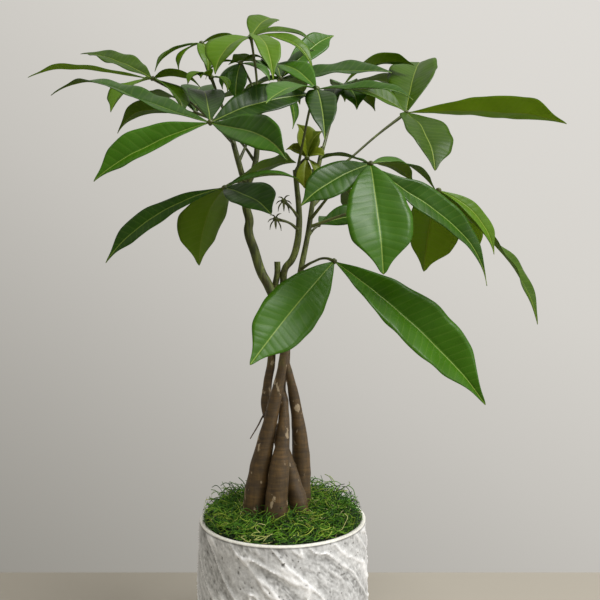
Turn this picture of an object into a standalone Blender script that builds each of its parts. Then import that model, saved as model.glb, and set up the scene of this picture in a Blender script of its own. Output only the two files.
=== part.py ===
"""A potted money tree: four young trunks planted together in a round pot and braided.

Every compound leaf is one grown piece, with its long stalk, its hub and its fan of leaflets, and it
meets the green stem that it grew from. Metres, +Z up, origin at the centre of the pot's foot.
"""
import math

import bmesh
import bpy
from mathutils import Matrix, Vector

MM = 0.001
SEAT = 0.3 * MM              # clearance between pieces that touch

# pot
POT_HEIGHT = 150.0 * MM
RIM_RADIUS = 82.5 * MM
BELLY_RADIUS = 84.5 * MM
FOOT_RADIUS = 74.0 * MM
WALL = 5.0 * MM
FLOOR = 10.0 * MM
POT_STEPS = 40

# filling
SOIL_TOP = 128.0 * MM
MOSS_EDGE = 140.0 * MM       # where the moss meets the inside of the rim
MOSS_CROWN = 158.0 * MM      # its surface round the trunks

# leaves
BLADE = 0.8 * MM             # thickness of a leaflet
STALK = 1.4 * MM             # radius of a leaf stalk
HUB = 2.6 * MM               # radius of the knuckle that the leaflets grow from
NECK = 0.9 * MM              # half the width of a leaflet where it leaves the hub
STATION_SPACING = 12.0 * MM  # distance between the stations along a leaflet
TUBE_SPACING = 13.0 * MM     # distance between the rings of a stem
STALK_SPACING = 22.0 * MM    # and of a leaf stalk


def clear_scene():
    for old in list(bpy.data.objects):
        bpy.data.objects.remove(old, do_unlink=True)


def new_collection(name):
    collection = bpy.data.collections.new(name)
    bpy.context.scene.collection.children.link(collection)
    return collection


def material(name, colour, roughness):
    made = bpy.data.materials.new(name)
    made.use_nodes = True
    shader = made.node_tree.nodes["Principled BSDF"]
    shader.inputs["Base Color"].default_value = (*colour, 1.0)
    shader.inputs["Roughness"].default_value = roughness
    shader.inputs["Metallic"].default_value = 0.0
    made.diffuse_color = (*colour, 1.0)
    return made


def add_object(name, mesh, collection, finish=None):
    made = bpy.data.objects.new(name, mesh)
    collection.objects.link(made)
    if finish is not None:
        mesh.materials.append(finish)
    return made


def as_cutter(made):
    made.hide_render = True
    made.display_type = "WIRE"
    return made


def turned(name, profile, collection, finish):
    """A profile of (radius, height) from the top of the outside down, turned about Z."""
    mesh = bpy.data.meshes.new(name)
    points = [(radius, 0.0, height) for radius, height in profile]
    edges = [(i, i + 1) for i in range(len(points) - 1)]
    mesh.from_pydata(points, edges, [])
    made = add_object(name, mesh, collection, finish)
    screw = made.modifiers.new("turn", "SCREW")
    screw.steps = POT_STEPS
    screw.render_steps = POT_STEPS
    screw.use_merge_vertices = True
    screw.merge_threshold = 0.00005
    screw.use_smooth_shade = True
    return made


def smooth_route(points, spacing):
    """Points about `spacing` apart on a smooth curve through the given (place, radius) points."""
    dense = []
    last = len(points) - 1
    for i in range(last):
        before, start = points[max(i - 1, 0)], points[i]
        end, after = points[i + 1], points[min(i + 2, last)]
        steps = max(1, round((end[0] - start[0]).length / spacing))
        for k in range(steps):
            t = k / steps
            place = 0.5 * (2 * start[0] + (end[0] - before[0]) * t
                           + (2 * before[0] - 5 * start[0] + 4 * end[0] - after[0]) * t * t
                           + (3 * start[0] - before[0] - 3 * end[0] + after[0]) * t ** 3)
            dense.append((place, start[1] + (end[1] - start[1]) * t))
    dense.append(points[last])
    return dense


def tube(name, points, collection, finish=None, grow=0.0, sides=2, spacing=TUBE_SPACING):
    """A round stem along (x, y, z, radius) points in millimetres, made a closed mesh."""
    route = smooth_route([(Vector(p[:3]) * MM, p[3] * MM) for p in points], spacing)
    if grow:
        root, tip = route[0][0] - route[1][0], route[-1][0] - route[-2][0]
        route[0] = (route[0][0] + root.normalized() * grow, route[0][1])
        route[-1] = (route[-1][0] + tip.normalized() * grow, route[-1][1])
    curve = bpy.data.curves.new(name, "CURVE")
    curve.dimensions = "3D"
    curve.bevel_depth = 1.0
    curve.bevel_resolution = sides
    curve.use_fill_caps = True
    spline = curve.splines.new("POLY")
    spline.points.add(len(route) - 1)
    for point, (place, radius) in zip(spline.points, route):
        point.co = (*place, 1.0)
        point.radius = radius + grow
    drawn = bpy.data.objects.new(name + "_route", curve)
    collection.objects.link(drawn)
    graph = bpy.context.evaluated_depsgraph_get()
    mesh = bpy.data.meshes.new_from_object(drawn.evaluated_get(graph))
    matrix = drawn.matrix_world.copy()
    bpy.data.objects.remove(drawn, do_unlink=True)
    shape = bmesh.new()
    shape.from_mesh(mesh)
    bmesh.ops.remove_doubles(shape, verts=shape.verts, dist=0.00001)
    bmesh.ops.recalc_face_normals(shape, faces=shape.faces)
    shape.to_mesh(mesh)
    shape.free()
    mesh.name = name
    made = add_object(name, mesh, collection, finish)
    made.matrix_world = matrix
    mesh.shade_smooth()
    return made


def boolean(target, operation, other):
    """Adds one Boolean with an object or with all of a collection."""
    step = target.modifiers.new(operation.lower(), "BOOLEAN")
    step.operation = operation
    step.solver = "EXACT"
    if isinstance(other, bpy.types.Collection):
        step.operand_type = "COLLECTION"
        step.collection = other
    else:
        step.object = other


def blade(tip, width, arch=6, roll=0, fold=14, bend=0, hook=2, twist=0, peak=0.52, skew=1.0, full=1.0):
    """One leaflet's values: its tip from the hub, its width, and how it arches, turns, folds and droops."""
    return {"tip": Vector(tip) * MM, "width": width * MM, "arch": arch * MM, "roll": roll, "fold": fold,
            "bend": bend * MM, "hook": hook * MM, "twist": twist, "peak": peak, "skew": skew, "full": full}


def half_width(u, peak, full):
    """A leaflet's outline: 0 at the stalk and the tip, 1 at `peak` along it, drawn in before its drip tip."""
    if u < peak:
        return math.sin(math.pi / 2 * u / peak) ** (1.15 * full)
    drawn_in = min(1.0, max(0.0, (u - 0.76) / 0.2))
    shoulder = max(0.0, math.cos(math.pi / 2 * (u - peak) / (1 - peak))) ** (0.8 * full)
    return shoulder * (1 - 0.55 * drawn_in ** 2 * (3 - 2 * drawn_in))


def leaflet_frame(base, spec, u):
    """The midrib's place at u, with the directions across the blade and out of its upper face."""
    run = spec["tip"]
    along = run.normalized()
    up = Vector((0, 0, 1)) - along * along.z
    if up.length < 0.05:
        up = Vector((0, -1, 0)) - along * along.dot(Vector((0, -1, 0)))
    up.normalize()
    side = along.cross(up)

    def place(s):
        risen = s ** spec["skew"]
        hump = 4 * risen * (1 - risen)
        curl = max(0.0, (s - 0.7) / 0.3) ** 2
        lift = spec["arch"] * hump - spec["hook"] * curl
        return base + run * s + up * lift + side * (spec["bend"] * hump)

    step = 0.01
    tangent = (place(min(u + step, 1)) - place(max(u - step, 0))).normalized()
    upper = (up - tangent * up.dot(tangent)).normalized()
    upper.rotate(Matrix.Rotation(math.radians(spec["roll"] + spec["twist"] * u), 3, tangent))
    return place(u), tangent.cross(upper), upper


def leaflet(name, hub, spec, collection):
    """One leaflet: a narrow grid laid along its midrib, folded to a V and given its thickness."""
    fold = math.radians(spec["fold"])
    stations = min(9, max(3, round(spec["tip"].length / STATION_SPACING)))
    mesh = bpy.data.meshes.new(name)
    shape = bmesh.new()
    bmesh.ops.create_grid(shape, x_segments=stations, y_segments=2, size=1.0)
    for vertex in shape.verts:
        u = (vertex.co.x + 1) / 2
        across = vertex.co.y
        spot, side, upper = leaflet_frame(hub, spec, u)
        half = max(NECK, spec["width"] / 2 * half_width(u, spec["peak"], spec["full"]))
        vertex.co = spot + side * (across * half * math.cos(fold)) + upper * (abs(across) * half * math.sin(fold))
    shape.to_mesh(mesh)
    shape.free()
    made = as_cutter(add_object(name, mesh, collection))
    thick = made.modifiers.new("blade", "SOLIDIFY")
    thick.thickness = BLADE
    thick.offset = 0.0
    thick.use_even_offset = False
    return made


def compound_leaf(name, route, leaflets, finish, stem_cutter):
    """A stalk from its stem to its hub, with the leaflets that fan out from there, all one piece."""
    radius = STALK / MM
    points = [(x, y, z, radius) for x, y, z in route]
    made = tube(name, points, part, finish, sides=1, spacing=STALK_SPACING)
    hub = Vector(route[-1]) * MM
    grown = new_collection(name + "_blades")
    knuckle = bpy.data.meshes.new(name + "_knuckle")
    shape = bmesh.new()
    bmesh.ops.create_icosphere(shape, subdivisions=1, radius=HUB)
    bmesh.ops.translate(shape, verts=shape.verts, vec=hub)
    shape.to_mesh(knuckle)
    shape.free()
    as_cutter(add_object(name + "_knuckle", knuckle, grown))
    for number, spec in enumerate(leaflets, 1):
        leaflet(f"{name}_blade_{number}", hub, spec, grown)
    boolean(made, "UNION", grown)
    boolean(made, "DIFFERENCE", stem_cutter)
    return made


clear_scene()
part = new_collection("potted_money_tree")
cutters = new_collection("cutters")

glazed_white = material("white_cement", (0.62, 0.60, 0.56), 0.75)
soil_brown = material("potting_soil", (0.05, 0.035, 0.02), 0.95)
moss_green = material("dyed_moss", (0.08, 0.23, 0.02), 0.95)
bark = material("bark", (0.15, 0.09, 0.05), 0.85)
leaf_green = material("leaf_green", (0.05, 0.16, 0.02), 0.4)
young_green = material("young_leaf", (0.16, 0.24, 0.03), 0.45)
dry_wood = material("dry_wood", (0.12, 0.08, 0.05), 0.9)

# ---- pot, soil and moss ----
inner_rim = RIM_RADIUS - WALL
inner_foot = FOOT_RADIUS - WALL
turned("pot", [
    (0.0, FLOOR), (inner_foot - 3 * MM, FLOOR), (inner_foot, FLOOR + 3 * MM),
    (inner_rim, POT_HEIGHT * 0.35), (inner_rim, POT_HEIGHT - 1.5 * MM),
    (inner_rim + 1.5 * MM, POT_HEIGHT), (RIM_RADIUS - 2 * MM, POT_HEIGHT),
    (RIM_RADIUS, POT_HEIGHT - 2 * MM), (RIM_RADIUS + 0.8 * MM, POT_HEIGHT * 0.83),
    (BELLY_RADIUS, POT_HEIGHT * 0.55), (BELLY_RADIUS - 1 * MM, POT_HEIGHT * 0.3),
    (BELLY_RADIUS - 4 * MM, POT_HEIGHT * 0.1), (FOOT_RADIUS + 3 * MM, 3 * MM),
    (FOOT_RADIUS, 0.0), (0.0, 0.0),
], part, glazed_white)

soil = turned("potting_soil", [
    (0.0, SOIL_TOP), (inner_rim - SEAT, SOIL_TOP), (inner_rim - SEAT, POT_HEIGHT * 0.35),
    (inner_foot - SEAT, FLOOR + 3 * MM + SEAT), (inner_foot - 3 * MM - SEAT, FLOOR + SEAT),
    (0.0, FLOOR + SEAT),
], part, soil_brown)

moss_side = inner_rim - SEAT
moss = turned("moss_topdressing", [
    (0.0, MOSS_CROWN), (0.5 * moss_side, MOSS_CROWN - 1 * MM),
    (0.8 * moss_side, MOSS_CROWN - 4 * MM), (0.95 * moss_side, POT_HEIGHT - 1 * MM),
    (moss_side, MOSS_EDGE), (moss_side, SOIL_TOP + SEAT), (0.0, SOIL_TOP + SEAT),
], part, moss_green)

# ---- the four trunks, from the root end in the soil up to the green shoots (x, y, z, radius in mm) ----
ROOT_END = 60.0
trunk_left = [
    (-26, -19, ROOT_END, 9), (-28, -20, 120, 12), (-27.5, -20, 164, 11.4), (-22.5, -19, 201, 10.2),
    (-15, -18, 234, 7.9), (-7.5, -16, 268, 6), (-1, -12, 298, 4.5), (2, -9, 317, 4), (8, -6, 340, 3.5),
    (14, -1, 377, 3.1), (19, 2, 403, 2.9), (25, 4, 433, 2.7), (30, 4, 467, 2.5), (35, 4, 498, 2.4),
    (40, 5, 522, 2.2),
]
trunk_front = [
    (-5, -30, ROOT_END, 9), (-6, -31, 120, 12), (-6, -31, 161, 11.3), (-3, -28.5, 203, 9.6),
    (0.8, -21, 234, 6.4), (1, -7, 262, 4.8), (-1.5, 8, 280, 4.2), (3, 15, 306, 4), (2, 16, 335, 4),
    (0, 15, 362, 3.8), (0, 12, 385, 3.6), (2, 7, 399, 3.5), (9, 5, 408, 3.5), (14, 4, 423, 3.5),
    (16, 3, 440, 3.3), (16, 2, 458, 3), (14, 2, 480, 2.7), (12, 2, 498, 2.4),
]
trunk_right = [
    (17, 8, ROOT_END, 9), (18, 8, 120, 11), (18, 7, 170, 10), (18, 6, 209, 9), (16, 4, 236, 7.2),
    (12, 3, 264, 5.6), (7, 1, 288, 4.4), (2, 4, 306, 4), (-3, 5, 335, 4.1), (-8, 4, 364, 4.4),
    (-15, 4, 382, 4.8), (-22, 4, 395, 4.9), (-29, 3, 417, 4.8), (-35, 2, 437, 4.6), (-34, 2, 447, 4.4),
    (-37, 1, 460, 4.3), (-38, 0, 486, 4.2),
]
shoot_left = [(-38, 0, 482, 3.2), (-43, -2, 500, 2.9), (-50, -4, 526, 2.6), (-54, -4, 545, 2.3)]
shoot_crown = [(-38, 0, 478, 3.2), (-30, 2, 497, 3), (-26, 4, 526, 2.7), (-26, 4, 560, 2.4)]
trunk_rear = [
    (17, -16, ROOT_END, 8), (17, -16, 120, 10), (16, -15, 165, 9), (9, -10, 190, 8), (3, -7, 210, 7),
    (-7, -1, 234, 5.8), (-17, 4, 255, 4.8), (-16, 8, 280, 4.5), (-12, 10, 306, 4.2), (-12, 12, 335, 4),
    (-10, 14, 362, 3.6), (-8, 11, 383, 3.2), (-6, 9, 394, 3.1), (-6, 8, 406, 3.1),
]


def trunk(name, points, branches, finish):
    """A trunk with its branches, and a cutter of the same shape, a seat's clearance larger."""
    made = tube(name, points, part, finish, sides=2)
    grown = tube(name + "_clearance", points, cutters, grow=SEAT)
    for number, branch in enumerate(branches, 1):
        boolean(made, "UNION", as_cutter(tube(f"{name}_fork_{number}", branch, cutters)))
        wider = tube(f"{name}_fork_clearance_{number}", branch, cutters, grow=SEAT)
        boolean(grown, "UNION", as_cutter(wider))
    return as_cutter(grown)


left_stem = trunk("trunk_left", trunk_left, [], bark)
front_stem = trunk("trunk_front", trunk_front, [], bark)
right_stem = trunk("trunk_right", trunk_right, [shoot_left, shoot_crown], bark)
rear_stem = trunk("trunk_rear", trunk_rear, [], bark)
for stem in (left_stem, front_stem, right_stem, rear_stem):
    boolean(soil, "DIFFERENCE", stem)
    boolean(moss, "DIFFERENCE", stem)

twig = tube("dead_twig", [(-13, 2, 256, 1.2), (-18, -8, 254, 1.1), (-24, -17, 244, 0.9), (-31, -25, 233, 0.6)],
            part, dry_wood, sides=1)
boolean(twig, "DIFFERENCE", rear_stem)

# ---- compound leaves ----
# A leaf is its stalk's route from the stem to the hub, then its leaflets (mm and degrees).
compound_leaf("leaf_low_front", [(18, 2, 398), (30, -24, 404), (42, -44, 406), (49, -50, 403)], [
    blade((-72, -80, -88), 48, arch=2, roll=-50, fold=4, hook=0, peak=0.55, full=0.8),
    blade((128, -50, -123), 54, arch=6, roll=50, fold=24, hook=3, peak=0.55, full=0.9),
], leaf_green, left_stem)

compound_leaf("leaf_right_front", [(28, 4, 449), (50, -36, 472), (70, -78, 487), (78, -90, 485)], [
    blade((4, -60, -97), 54, arch=4, roll=0, fold=10, hook=2, peak=0.6, full=0.72),
    blade((-61, -30, -39), 32, arch=3, roll=-60, fold=14),
    blade((104, 0, -103), 32, arch=13, roll=60, fold=20, hook=4, peak=0.4, skew=1.6, full=1.5),
    blade((70, 60, -12), 25, arch=12, roll=25, fold=10, peak=0.5),
    blade((45, 40, -8), 22, arch=6, roll=0, fold=10, peak=0.5),
    blade((-43, 40, 14), 20, arch=4, roll=0, fold=10, peak=0.5),
], leaf_green, left_stem)

compound_leaf("leaf_far_right", [(27, 4, 441), (75, 0, 457), (121, -12, 466), (152, -20, 474)], [
    blade((107, 20, -129), 32, arch=13, roll=-20, twist=90, hook=4, peak=0.6, skew=1.3),
    blade((53, -10, -62), 20, arch=10, roll=50),
    blade((-5, 50, -76), 64, arch=6, roll=40, fold=28, peak=0.48, full=0.75),
    blade((60, 75, -60), 32, arch=8, peak=0.55),
], leaf_green, left_stem)

compound_leaf("leaf_right_high", [(34, 4, 484), (66, 12, 510), (98, 22, 539), (129, 30, 564)], [
    blade((177, 20, -1), 40, arch=5, roll=-21, fold=21, hook=5, peak=0.66),
    blade((33, 100, 93), 57, arch=8, fold=18, hook=3, peak=0.5, full=0.8),
    blade((14, -80, -75), 52, arch=6, roll=-8, fold=14, bend=-4, peak=0.42, full=0.72),
    blade((-65, -10, 23), 34, arch=6, roll=-46),
], leaf_green, left_stem)

compound_leaf("leaf_centre_high", [(13, 2, 490), (20, -25, 520), (28, -62, 548), (32, -80, 553)], [
    blade((-41, -80, -35), 30, arch=5, roll=-15),
    blade((79, -40, -15), 22, arch=2, hook=7, roll=30),
    blade((5, -60, -58), 27, arch=6, peak=0.42),
    blade((-38, 50, 42), 26, arch=4, roll=-30),
], leaf_green, front_stem)

compound_leaf("leaf_left_front", [(-49, -4, 522), (-54, -40, 529), (-58, -85, 524), (-59, -100, 518)], [
    blade((-94, -20, -52), 34, arch=5, roll=-58, fold=28, hook=2, peak=0.6),
    blade((-153, 50, 48), 36, arch=11, roll=-30, twist=18, fold=14, hook=9, peak=0.42, skew=2.2),
    blade((-20, 90, 58), 36, arch=5, peak=0.6),
    blade((87, 40, 38), 36, arch=4, roll=55, fold=15),
    blade((67, -70, -44), 31, arch=6, roll=58, fold=18, hook=3, peak=0.6, skew=1.5),
], leaf_green, right_stem)

compound_leaf("leaf_far_left", [(-48, -3, 522), (-76, 14, 553), (-110, 26, 583), (-138, 30, 600)], [
    blade((-127, -10, 2), 28, arch=7, roll=-14, hook=4, peak=0.6, skew=1.4),
    blade((-99, 70, 56), 32, arch=4, hook=3, roll=-30, peak=0.4),
    blade((-31, -50, -47), 38, hook=3),
    blade((40, -30, -44), 34, hook=3),
    blade((52, -4, -8), 28, hook=3, peak=0.45),
], leaf_green, right_stem)

compound_leaf("leaf_upper_left", [(-54, -4, 541), (-66, 2, 575), (-79, 14, 606), (-85, 20, 633)], [
    blade((-48, -10, -30), 22, arch=7, roll=-20, hook=3),
    blade((-22, -20, -33), 16, arch=6, hook=3),
    blade((12, -30, -39), 20, arch=6, hook=3),
    blade((40, 0, 6), 12, arch=4, hook=3),
], young_green, right_stem)

compound_leaf("leaf_crown", [(-26, 4, 556), (-26, -4, 585), (-29, -22, 612), (-30, -30, 619)], [
    blade((-29, -50, -50), 40, arch=8, hook=3, roll=-10),
    blade((25, -70, -62), 26, arch=12, hook=3),
    blade((62, 10, -1), 17, arch=9, roll=38, hook=2),
    blade((62, -14, -32), 19, arch=11, hook=6, roll=38),
    blade((22, 50, 41), 30, arch=5, roll=20, fold=8, hook=4),
], young_green, right_stem)

compound_leaf("leaf_crown_rear", [(-44, -2, 506), (-36, 12, 530), (-22, 18, 562), (-8, 20, 588), (-3, 22, 597)], [
    blade((56, 40, 64), 27, arch=3, roll=60, hook=3, peak=0.68),
    blade((34, -14, 26), 30, arch=4, roll=40),
    blade((114, -10, 6), 44, arch=3, roll=35, fold=10, hook=3, peak=0.58, full=0.75),
    blade((-60, 60, 40), 34, arch=8, hook=3),
    blade((15, -12, -54), 15, arch=5, hook=3),
    blade((20, 110, 10), 36, arch=10, hook=3),
    blade((-14, 84, 40), 34, arch=10, hook=3),
    blade((-42, 30, -8), 30, arch=5, roll=-30, hook=3),
], leaf_green, right_stem)

compound_leaf("leaf_right_rear", [(39, 5, 515), (51, 32, 560), (60, 54, 592), (64, 60, 602)], [
    blade((-14, -36, -30), 26, hook=3),
    blade((14, -30, -32), 32, hook=3, roll=20),
    blade((40, 30, -16), 24, hook=3),
    blade((96, 92, 26), 34, arch=9, hook=3),
    blade((80, 12, 30), 32, arch=12, roll=-8, hook=3),
    blade((10, 110, 20), 34, arch=10, hook=3),
], leaf_green, left_stem)

compound_leaf("leaf_middle_left", [(-38, 0, 484), (-46, -20, 482), (-54, -40, 473)], [
    blade((-111, -10, -69), 24, arch=11, roll=-60, fold=10, hook=3, peak=0.65),
    blade((-33, 50, -69), 60, arch=14, roll=-15, fold=12, hook=3, peak=0.5, full=0.8),
    blade((47, -60, -31), 40, arch=3, roll=30, hook=2, peak=0.6, full=0.75),
    blade((71, 14, 13), 26, arch=6, roll=18, hook=3),
    blade((66, 72, 42), 28, arch=4, roll=-28, hook=3, peak=0.74),
], leaf_green, right_stem)

compound_leaf("leaf_small_right", [(25, 4, 431), (31, 8, 439), (36, 12, 444)], [
    blade((59, 8, 9), 28, arch=4, roll=55, hook=3),
    blade((30, 60, 10), 24, arch=6, hook=3),
], leaf_green, left_stem)

compound_leaf("leaf_young_centre", [(12, 3, 496), (17, 0, 504), (24, -7, 508)], [
    blade((-8, -2, 34), 28, arch=3, roll=-72, fold=22, peak=0.45),
    blade((14, 0, 28), 18, arch=3, roll=66, fold=24),
    blade((-20, 2, 11), 16, arch=3, fold=20, roll=-50),
    blade((18, -6, 2), 16, arch=3, fold=20, roll=44),
    blade((-3, -11, -31), 17, arch=3, fold=16, peak=0.7),
    blade((10, -9, -22), 13, arch=3, fold=16),
], young_green, front_stem)

compound_leaf("leaf_crown_inner", [(-26, 4, 550), (-30, 12, 580), (-40, 17, 604), (-44, 16, 611)], [
    blade((-35, -16, -20), 8, arch=8, hook=2),
    blade((27, -16, -2), 8, arch=5, hook=2),
    blade((-4, -14, -42), 22, arch=4, roll=-20),
    blade((-20, -4, -27), 18, arch=4, roll=-30),
    blade((31, 2, -16), 22, arch=4, roll=30),
], leaf_green, right_stem)

compound_leaf("leaf_small_left", [(-54, -4, 536), (-58, -8, 552), (-65, -13, 572), (-70, -17, 585)], [
    blade((-22, -10, -8), 22, arch=5, roll=-24, hook=2),
    blade((18, -5, -14), 15, arch=5, roll=20, hook=2),
    blade((-8, -16, -5), 18, arch=4, hook=1),
], young_green, right_stem)

compound_leaf("leaf_back_left", [(-28, 3, 506), (-44, 18, 530), (-70, 38, 556), (-98, 60, 573)], [
    blade((-87, 0, -15), 30, arch=12, roll=16, hook=8, peak=0.55, skew=1.3),
    blade((-70, 80, 34), 40, arch=12, hook=3, peak=0.55),
    blade((-4, 70, 52), 40, arch=8, hook=3, peak=0.55),
    blade((60, 60, 40), 38, arch=6, hook=3, peak=0.55),
], leaf_green, right_stem)

compound_leaf("leaf_back_right", [(30, 4, 462), (52, 44, 488), (66, 84, 494)], [
    blade((90, 50, -50), 40, arch=12, hook=3, peak=0.55),
    blade((40, 110, -50), 42, arch=12, hook=3, peak=0.55),
    blade((-46, 100, 30), 34, arch=12, hook=3, peak=0.55),
], leaf_green, left_stem)


def bud(name, stalk):
    """A leaf bud just opening: a short stalk with a tiny umbrella of drooping leaflets."""
    spread = 5
    blades = []
    for number in range(spread):
        turn = 2 * math.pi * number / spread
        tip = (9 * math.cos(turn), 9 * math.sin(turn), -9 - 3 * (number % 2))
        blades.append(blade(tip, 2.2, arch=2, fold=8, hook=1))
    return compound_leaf(name, stalk, blades, young_green, front_stem)


bud("bud_upper", [(16, 2, 449), (9, -5, 458), (1, -10, 465)])
bud("bud_lower", [(16, 2, 437), (6, -6, 444), (-7, -11, 447)])
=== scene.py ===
"""A potted money tree with braided trunks, finished over its CAD solids."""
import math
import random

import bpy
from mathutils import Matrix, Vector, noise


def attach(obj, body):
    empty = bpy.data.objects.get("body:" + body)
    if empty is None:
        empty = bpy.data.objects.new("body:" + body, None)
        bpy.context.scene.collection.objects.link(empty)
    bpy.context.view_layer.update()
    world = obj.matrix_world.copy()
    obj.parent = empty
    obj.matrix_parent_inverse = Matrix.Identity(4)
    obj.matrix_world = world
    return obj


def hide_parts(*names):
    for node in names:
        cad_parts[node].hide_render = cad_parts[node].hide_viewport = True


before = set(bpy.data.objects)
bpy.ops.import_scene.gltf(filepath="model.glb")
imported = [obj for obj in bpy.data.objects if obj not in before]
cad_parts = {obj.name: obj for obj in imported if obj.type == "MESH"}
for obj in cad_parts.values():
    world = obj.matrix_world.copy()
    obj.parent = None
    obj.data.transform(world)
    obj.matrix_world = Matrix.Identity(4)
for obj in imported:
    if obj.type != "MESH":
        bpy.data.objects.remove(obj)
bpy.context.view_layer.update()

# ---- camera ----
# At the height of the lower leaves and level, so that the pot's filling is seen from a little above
# and the crown from a little below.
bpy.ops.object.select_all(action="DESELECT")
bpy.ops.object.camera_add(location=(0.0171, -0.6475, 0.367), rotation=(math.radians(90), 0, 0))
camera = bpy.context.object
camera.data.lens = 38.64
camera.data.clip_start = 0.02
bpy.context.scene.camera = camera


# ---- floor and light ----
# A pale painted board under the plant, open behind it. The room's light is even and stronger from the
# upper right, where a soft lamp hangs and a window stands.
def linear(code):
    """An sRGB hex colour as linear red, green, blue and alpha."""
    parts = [int(code[i:i + 2], 16) / 255 for i in (0, 2, 4)]
    return (*(c / 12.92 if c <= 0.04045 else ((c + 0.055) / 1.055) ** 2.4 for c in parts), 1.0)


def add_node(tree, kind, inputs=(), **settings):
    """Adds a node, sets its properties, and fills or links its inputs from (name or number, value) pairs."""
    made = tree.nodes.new("ShaderNode" + kind)
    for name, value in settings.items():
        setattr(made, name, value)
    for key, value in inputs:
        if isinstance(value, bpy.types.NodeSocket):
            tree.links.new(value, made.inputs[key])
        else:
            made.inputs[key].default_value = value
    return made


def new_material(name):
    """An empty node material and its tree."""
    made = bpy.data.materials.new(name)
    made.use_nodes = True
    made.node_tree.nodes.clear()
    return made, made.node_tree


def finish_material(tree, shader):
    """Joins a shader to the material's output."""
    add_node(tree, "OutputMaterial", [("Surface", shader.outputs[0])])


bpy.ops.mesh.primitive_plane_add(size=1, location=(0, -1.3, 0))
floor = bpy.context.object
floor.name = "floor"
floor.scale = (5.0, 3.04, 1)
bpy.ops.object.transform_apply(location=True, scale=True)
paint, tree = new_material("painted board")
finish_material(tree, add_node(tree, "BsdfPrincipled", [
    ("Base Color", linear("A09A8E")), ("Roughness", 0.8)]))
floor.data.materials.append(paint)

world = bpy.data.worlds.new("studio")
world.use_nodes = True
tree = world.node_tree
tree.nodes.clear()
aim = add_node(tree, "TexCoord").outputs["Generated"]
side = add_node(tree, "VectorMath", [
    (0, aim), (1, (0.56, 0.2, 0.83))], operation="DOT_PRODUCT").outputs["Value"]
sky = add_node(tree, "ValToRGB", [("Fac", add_node(tree, "MapRange", [
    ("Value", side), ("From Min", -0.36), ("From Max", 0.84)]).outputs[0])])
sky.color_ramp.elements[0].color = linear("95928B")
sky.color_ramp.elements[1].color = linear("E2DFDA")
sky.color_ramp.elements.new(0.42).color = linear("C6C3BD")
sky.color_ramp.elements.new(0.62).color = linear("D5D2CC")
add_node(tree, "OutputWorld", [("Surface", add_node(tree, "Background", [
    ("Color", sky.outputs[0]), ("Strength", 1.0)]).outputs[0])])
bpy.context.scene.world = world
bpy.context.scene.view_settings.view_transform = "Standard"


def soft_lamp(name, place, aim, size, watts):
    """A round soft lamp at its place, turned towards its aim; size is its diameter in metres."""
    bpy.ops.object.light_add(type="AREA", location=place)
    lamp = bpy.context.object
    lamp.name = name
    lamp.data.shape = "DISK"
    lamp.data.size = size
    lamp.data.energy = watts
    lamp.rotation_euler = (Vector(place) - Vector(aim)).to_track_quat("Z", "Y").to_euler()


soft_lamp("ceiling_lamp", (0.75, -0.55, 1.9), (0.0, 0.0, 0.4), 0.7, 30)
soft_lamp("window_side", (1.6, -0.9, 0.8), (0.0, 0.0, 0.3), 1.2, 11)

# ---- pot ----
# A round planter cast in white cement with a thin glaze. Its outer face carries rough slanting ridges
# that were drawn in the wet coat, with chips and pits between them; the lip and the inside are smooth.
MM = 0.001
POT_HEIGHT = 150 * MM
RIM_RADIUS = 82.5 * MM
RIDGE_SPACING = 15 * MM      # distance between the slanting ridges
RIDGE_TWIST = 12.0           # how far the ridges lean round the pot, in radians a metre
RIDGE_HEIGHT = 2.2 * MM
COAT_MIDDLE = 0.35           # the share of a ridge's height that lies inside the wall's plain radius
POT_SIDES = 384
POT_ROWS = 120
noise.seed_set(3)            # the ridges drift the same way each time


def wall_radius(z):
    """The pot's outer radius at a height, from the foot to the rim."""
    steps = [(0.0, 74), (3, 77), (15, 80.5), (45, 83.5), (82.5, 84.5), (124.5, 83.3), (148, 82.5),
             (150, 82.5)]
    for (low, inner), (high, outer) in zip(steps, steps[1:]):
        if z <= high * MM:
            return (inner + (outer - inner) * (z / MM - low) / (high - low)) * MM
    return steps[-1][1] * MM


def cement_relief(place):
    """How far the cement coat stands out there, from 0 to 1, with its ridges, scratches, chips and pits."""
    turn = Matrix.Rotation(RIDGE_TWIST * place.z, 3, "Z")
    coat = turn @ place
    drift = noise.noise_vector(place / (30 * MM)) * 0.45
    stretched = Vector((coat.x, coat.y, coat.z / 5)) / RIDGE_SPACING + drift
    broad = noise.noise(stretched * 0.8 + Vector((3, 0, 0)))
    crest = max(0.0, 1 - 13 * abs(noise.noise(stretched)))
    flank = max(0.0, 1 - 3.2 * abs(noise.noise(stretched)))
    worked = max(0.0, min(1.0, 0.5 + 1.6 * noise.noise(place / (34 * MM) + Vector((7, 0, 2)))))
    fine = Vector((coat.x / (5 * MM), coat.y / (5 * MM), coat.z / (22 * MM))) + drift * 2
    scratch = max(0.0, 1 - 7 * abs(noise.noise(fine)))
    chip = noise.noise(place / (2.4 * MM)) + 0.6 * noise.noise(place / (6 * MM) + Vector((0, 0, 4)))
    flake = max(0.0, noise.noise(place / (5 * MM) + Vector((9, 1, 0))) - 0.2) * 1.5
    pit = max(0.0, noise.noise(place / (3.4 * MM) + Vector((0, 5, 0))) - 0.52) * 4
    rough = 0.3 * scratch * worked + 0.18 * chip + 0.3 * flake * worked
    raised = 0.24 + 0.2 * broad + 0.6 * crest + 0.2 * flank + rough - pit
    return max(0.0, min(1.0, raised))


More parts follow.
